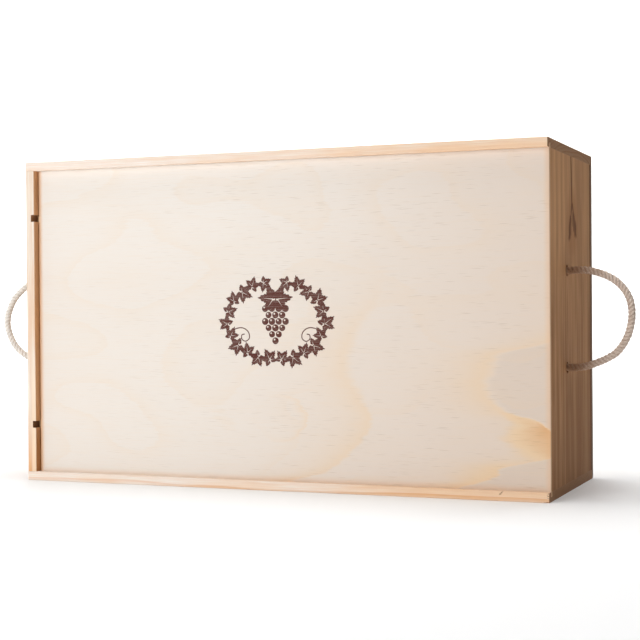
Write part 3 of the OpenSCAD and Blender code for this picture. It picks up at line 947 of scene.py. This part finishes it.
def plywood_finish(name, middle, plies, pale, warm, tan, orange, cloud_share, drawn=None, ink=None):
    """middle is where the core ply lies in Y, in millimetres, and plies are the cut edge's two colours."""
    made, w, shader = principled(name, 0.6, 0.1 if ink else 0.3)
    scaled = w.stretch(w.place(), 1 / MM)
    at = w.split(scaled)
    x, y, z = at
    grain = part_of(w, peeled_grain, Place=scaled)
    clouds, grey = w.times(grain["Clouds"], cloud_share), 0.0
    if drawn:
        clouds, grey = drawn(w, at, grain["Clouds"])
    # painted shade: darker and warmer towards the lower right
    slope = w.plus(x, w.times(z, -0.35))
    colour = w.mix(w.step(slope, -180.0, 300.0), pale, warm)
    # painted shade: the lid's grey
    colour = w.mix(grey, colour, PAINTED_SHADE_GREY)
    colour = w.mix(w.step(clouds, 0.0, 0.6), colour, tan)
    colour = w.mix(w.step(clouds, 0.5, 1.15), colour, orange)
    colour = w.mix(w.step(grain["Fibres"], 0.3, 0.55, 0.12, 0.0), colour, tan)
    colour = w.mix(w.times(grain["Dashes"], w.step(x, -240.0, 40.0, 0.15, 0.42)), colour, RESIN)
    cut = w.step(w.math("ABSOLUTE", w.facing()[1]), 0.3, 0.7, 0.9, 0.0)
    core = w.step(w.apart(y, middle), 0.9, 1.2, 1.0, 0.0)
    colour = w.mix(cut, colour, w.mix(core, *plies))
    if drawn:
        # warmer near the lid's ends and foot; at the left end this is painted light
        ends = w.plus(w.step(x, *LEFT_PAINTED_LIGHT), w.step(x, *RIGHT_TAN))
        colour = w.mix(w.most(ends, w.step(z, *FOOT_TAN)), colour, WARM_EDGE_TONE)
    if ink:
        colour = ink(w, at, colour, grain)
    else:
        colour = w.mix(w.times(part_of(w, rubbed_edges)["Rubbed"], 0.3), colour, tan)
    connect(w, shader, colour, grain["Height"], 0.25, 0.15 * MM,
        w.step(grain["Fibres"], 0.3, 0.7, 0.55, 0.7))
    return made


# The face's pale, warm, tan and orange, and the plies' outer and core colours
PLY = (paint(231, 223, 215), paint(220, 203, 189), paint(228, 199, 164), paint(210, 150, 92))
BACK = (paint(218, 208, 195), paint(208, 190, 170), paint(216, 184, 146), paint(200, 144, 90))
LID_EDGE = (paint(190, 148, 108), paint(140, 100, 66))
PANEL_EDGE = (paint(104, 76, 50), paint(84, 58, 38))
LID_CORE, PANEL_CORE = -90.2, 97.5  # where the core ply lies in Y
lid_finish = plywood_finish("plywood_lid", LID_CORE, LID_EDGE, *PLY, 1.0, lid_clouds)
panel_finish = plywood_finish("plywood_panel", PANEL_CORE, PANEL_EDGE, *BACK, 0.45)
dress(lid_finish, "lid")
dress(panel_finish, "bottom_panel")

# %% [markdown]
# ## A vine on the lid
#
# The lid carries a print in dark reddish brown: a wreath of vine leaves round a bunch of grapes. Each
# shape is a plate about 0.1 mm thick, let a little into the wood. We draw one leaf and one grape as
# outlines. A leaf has five lobes with teeth, and narrow slits for its veins that all open to the stem, so
# that the outline stays one line. A grape has a small bare spot where light falls.

# %% Draw a leaf and a grape
def polar(length, degrees):
    """The point at a length and an angle from the origin."""
    return (length * math.cos(math.radians(degrees)), length * math.sin(math.radians(degrees)))


def leaf_outline():
    """A vine leaf 1 long, its stem end at the origin and its tip along X, drawn against the clock."""
    lobes = [(0, 1.0, 0.74), (60, 0.9, 0.62), (126, 0.68, 0.42)]
    notches = [(31, 0.56), (95, 0.46), (171, 0.3)]
    outline = []
    for k in range(-57, 58):
        angle = abs(3 * k)
        lobe = min(lobes, key=lambda one: abs(one[0] - angle))
        notch = min((one for one in notches if (one[0] - lobe[0]) * (angle - lobe[0]) >= 0),
            key=lambda one: abs(one[0] - lobe[0]), default=notches[0])
        far = min(1, abs(angle - lobe[0]) / abs(notch[0] - lobe[0]))
        reach = notch[1] + (lobe[1] - notch[1]) * (1 - far) ** 1.3
        outline.append(polar(reach * (1 + 0.045 * (-1) ** (k // 2)), 3 * k))
    for vein, _, end in lobes[:0:-1] + [lobes[0]] + [(-a, b, c) for a, b, c in lobes[1:]]:
        outline += [polar(0.09, vein + 15), polar(end, vein), polar(0.09, vein - 15)]
    return outline


def grape_outline():
    """A disc of radius 1 with a round bare spot, which a hair-thin slit joins to the rim."""
    rim = [polar(1, 131 + 358 * k / 23) for k in range(24)]
    spot = [(x - 0.3, y + 0.34) for x, y in (polar(0.26, 125 - 350 * k / 11) for k in range(12))]
    return rim + spot


def plate(name, outline, half):
    """A closed plate with an outline in X and Y, half as thick on each side of z = 0."""
    count = len(outline)
    flat = [Vector((*spot, 0)) for spot in outline]
    faces = [(i, count + i, count + (i + 1) % count, (i + 1) % count) for i in range(count)]
    for a, b, c in tessellate_polygon([flat]):
        left = (flat[b] - flat[a]).cross(flat[c] - flat[a]).z > 0
        top = (a, b, c) if left else (a, c, b)
        faces += [top, tuple(count + i for i in reversed(top))]
    mesh = bpy.data.meshes.new(name)
    mesh.from_pydata([(*spot, side * half) for side in (1, -1) for spot in outline], [], faces)
    made = bpy.data.objects.new(name, mesh)
    bpy.context.scene.collection.objects.link(made)
    print(f"{name}: {count} points round it")
    return made


# %% [markdown]
# The tree then prints them. Leaves stand on the wreath at even steps, to the left and to the right in
# turn. Grapes are points of a grid, each second row moved half a step, of which only those inside the
# bunch's outline are kept. At the end the flat drawing is stood up and set on the lid.

# %% Build the vine tree
def build_vine_tree():
    tree = bpy.data.node_groups.new("vine_print", "GeometryNodeTree")
    socket(tree, "Wreath", "Geometry")
    for name in ("Tendrils", "Leaf", "Grape"):
        socket(tree, name, "Object")
    socket(tree, "Leaves per Side", "Int", 11)
    socket(tree, "Leaf Length", "Float", 11 * MM)
    socket(tree, "Line Width", "Float", 1.0 * MM)
    socket(tree, "Grape Radius", "Float", 3.4 * MM)
    socket(tree, "Bunch Width", "Float", 35 * MM)
    socket(tree, "Bunch Height", "Float", 41 * MM)
    socket(tree, "Place", "Vector")
    socket(tree, "Seed", "Int", 4)
    socket(tree, "Material", "Material")
    socket(tree, "Print", "Geometry", side="OUTPUT")
    w = Wiring(tree)
    given = w.node("NodeGroupInput").outputs

    def shape(name):
        return w.node("GeometryNodeObjectInfo", {"Object": given[name]}).outputs["Geometry"]

    def chance(low, high, seed):
        return w.node("FunctionNodeRandomValue", {2: low, 3: high, "Seed": w.plus(given["Seed"], seed)},
            data_type="FLOAT").outputs[1]

    # The stems: flat ribbons along the wreath and the tendrils
    ribbon = w.node("GeometryNodeCurvePrimitiveQuadrilateral", {"Width": given["Line Width"],
        "Height": 0.1 * MM}).outputs[0]
    stems = [w.node("GeometryNodeCurveToMesh", {"Curve": line, "Profile Curve": ribbon,
        "Fill Caps": True}).outputs[0] for line in (given["Wreath"], shape("Tendrils"))]

    # The leaves of the wreath, each a little higher than the last, so that none lies level with another
    spots = w.node("GeometryNodeResampleCurve", {"Curve": given["Wreath"], "Count": given["Leaves per Side"]},
        mode="COUNT").outputs[0]
    index = w.node("GeometryNodeInputIndex").outputs[0]
    raised = w.node("GeometryNodeSetPosition", {"Geometry": spots, "Offset":
        w.join(0.0, 0.0, w.times(index, 0.003 * MM))}).outputs[0]
    side = w.minus(w.times(w.math("MODULO", index, 2.0), 2.0), 1.0)
    along = w.node("FunctionNodeAlignRotationToVector", {"Vector":
        w.node("GeometryNodeInputTangent").outputs[0]}, axis="X").outputs[0]
    lean = w.join(0.0, 0.0, w.times(side, chance(0.75, 1.1, 1)))
    turned = w.node("FunctionNodeRotateRotation", {"Rotation": along, "Rotate By":
        w.node("FunctionNodeEulerToRotation", {0: lean}).outputs[0]}, rotation_space="LOCAL").outputs[0]
    length = w.times(given["Leaf Length"], chance(0.85, 1.1, 2))
    leaves = w.node("GeometryNodeInstanceOnPoints", {"Points": raised, "Instance": shape("Leaf"),
        "Rotation": turned, "Scale": w.join(length, length, 1.0)}).outputs[0]

    # Two large leaves over the bunch
    large = [w.node("GeometryNodeTransform", {"Geometry": shape("Leaf"),
        "Translation": (hand * 2.2 * MM, 21 * MM, (5 + hand) * 0.006 * MM),
        "Rotation": (0, 0, math.radians(90 - hand * 84)), "Scale": (16 * MM, 16 * MM, 1)}).outputs[0]
        for hand in (1, -1)]

    # The bunch: rows of grapes, widest near the top and pointed below
    step = w.times(given["Grape Radius"], 2.12)
    rise = w.times(step, 0.87)
    columns, rows = 7, 9
    grid = w.node("GeometryNodeMeshGrid", {"Size X": w.times(step, columns - 1.0),
        "Size Y": w.times(rise, rows - 1.0), "Vertices X": columns, "Vertices Y": rows}).outputs[0]
    x, y, _ = w.split(w.node("GeometryNodeInputPosition").outputs[0])
    odd = w.math("FLOORED_MODULO", w.math("ROUND", w.over(y, rise)), 2.0)
    shifted = w.node("GeometryNodeSetPosition", {"Geometry": grid, "Offset":
        w.join(w.times(odd, w.times(step, 0.5)), -7 * MM, 0.0)}).outputs[0]
    top = 14 * MM
    down = w.over(w.minus(top, y), given["Bunch Height"], clamp=True)
    half = w.times(given["Bunch Width"], 0.5, w.math("POWER", w.minus(1.0, down), 0.65))
    outside = w.math("GREATER_THAN", w.math("ABSOLUTE", x), w.minus(half, w.times(step, 0.3)))
    above = w.math("GREATER_THAN", y, top)
    kept = w.node("GeometryNodeDeleteGeometry", {"Geometry": shifted,
        "Selection": w.math("GREATER_THAN", w.plus(outside, above), 0.5)}).outputs[0]
    size = w.times(given["Grape Radius"], chance(0.92, 1.04, 3))
    grapes = w.node("GeometryNodeInstanceOnPoints", {"Points": kept, "Instance": shape("Grape"),
        "Scale": w.join(size, size, 1.0)}).outputs[0]

    both = w.node("GeometryNodeJoinGeometry")
    for part in [*stems, leaves, *large, grapes]:
        tree.links.new(part, both.inputs[0])
    real = w.node("GeometryNodeRealizeInstances", {"Geometry": both.outputs[0]})
    stood = w.node("GeometryNodeTransform", {"Geometry": real.outputs[0], "Translation": given["Place"],
        "Rotation": (math.radians(90), 0, 0)})
    painted = w.node("GeometryNodeSetMaterial", {"Geometry": stood.outputs[0], "Material": given["Material"]})
    w.node("NodeGroupOutput", {0: painted.outputs[0]})
    return tree


vine_tree = build_vine_tree()
print("vine tree:", len(vine_tree.nodes), "nodes")

# %% [markdown]
# The ink has sunk into the wood, so the material under it is the lid's own, clouds and all. It is a
# little thinner between the fibres and in small worn spots, as any stamp on rough wood is.

# %% Print the vine
INK = paint(90, 47, 40)
PRINT_PLACE = (4 * MM, -92.5 * MM, MIDDLE_Z * MM)
WREATH = (52, 38)  # half its width and height
TENDRIL = [(49, -13), (43, -8), (35, -7), (29, -11), (28, -17), (32, -20), (36, -18), (36, -14), (33, -13)]
STALK = [(0, 12), (0.4, 17), (0.2, 23), (-1.5, 30)]


def stamp_ink(w, at, colour, grain):
    """The lid's colour under ink, which is thinner between the fibres and in worn spots."""
    spots = w.noise(w.join(w.times(at[0], 0.55), 0.0, w.times(at[2], 0.9)), 1.0, 4.0, 0.7)
    thin = w.times(w.step(grain["Fibres"], 0.35, 0.6, 0.14, 0.0), w.step(spots, 0.4, 0.6, 0.4, 1.0))
    return w.mix(w.minus(w.step(spots, 0.6, 0.7, 0.99, 0.65), thin), colour, INK)


def arc(first, last, wide, high):
    """Points of an oval from one angle to another, in degrees, half as wide and high as given."""
    count = 60
    return [Vector((wide * math.cos(a), high * math.sin(a), 0)) * MM
        for a in (math.radians(first + (last - first) * k / count) for k in range(count + 1))]


def curl(spots, hand=1):
    """A smooth line through flat spots in millimetres, mirrored for hand = -1."""
    return smooth_line([Vector((hand * x, y, 0)) * MM for x, y in spots], 0.5 * MM)[0]


vine_ink = plywood_finish("vine_ink", LID_CORE, LID_EDGE, *PLY, 1.0, lid_clouds, stamp_ink)
tendrils = line_object([curl(TENDRIL), curl(TENDRIL, -1), curl(STALK)])
leaf = plate("leaf", leaf_outline(), 0.06 * MM)
grape = plate("grape", grape_outline(), 0.045 * MM)
wreath = line_object([arc(-97, -256, *WREATH), arc(-83, 76, *WREATH)])
vine = grow("vine_print", wreath, vine_tree, Tendrils=tendrils, Leaf=leaf, Grape=grape, Place=PRINT_PLACE,
    Material=vine_ink)
for helper in (tendrils, leaf, grape):
    bpy.data.objects.remove(helper)
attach(vine, "lid")

# %% [markdown]
# ## Nails
#
# The nails are bare wire, driven flush. Only their heads show. Bare steel dulls to a soft grey, with a
# little brown rust that starts in spots.

# %% Mix the nail steel
nail_finish, w, shader = principled("nail_wire", 0.45)
rust = w.step(w.noise(w.place(), 900.0, 4.0, 0.7), 0.52, 0.68)
for entry, value in (("Base Color", w.mix(rust, paint(150, 150, 152), paint(116, 78, 52))),
    ("Metallic", w.step(rust, 0.0, 1.0, 0.9, 0.1)), ("Roughness", w.step(rust, 0.0, 1.0, 0.38, 0.85))):
    w.tree.links.new(value, shader.inputs[entry])
dress(nail_finish, "corner_nails_lower", "corner_nails_upper", "bottom_nails")
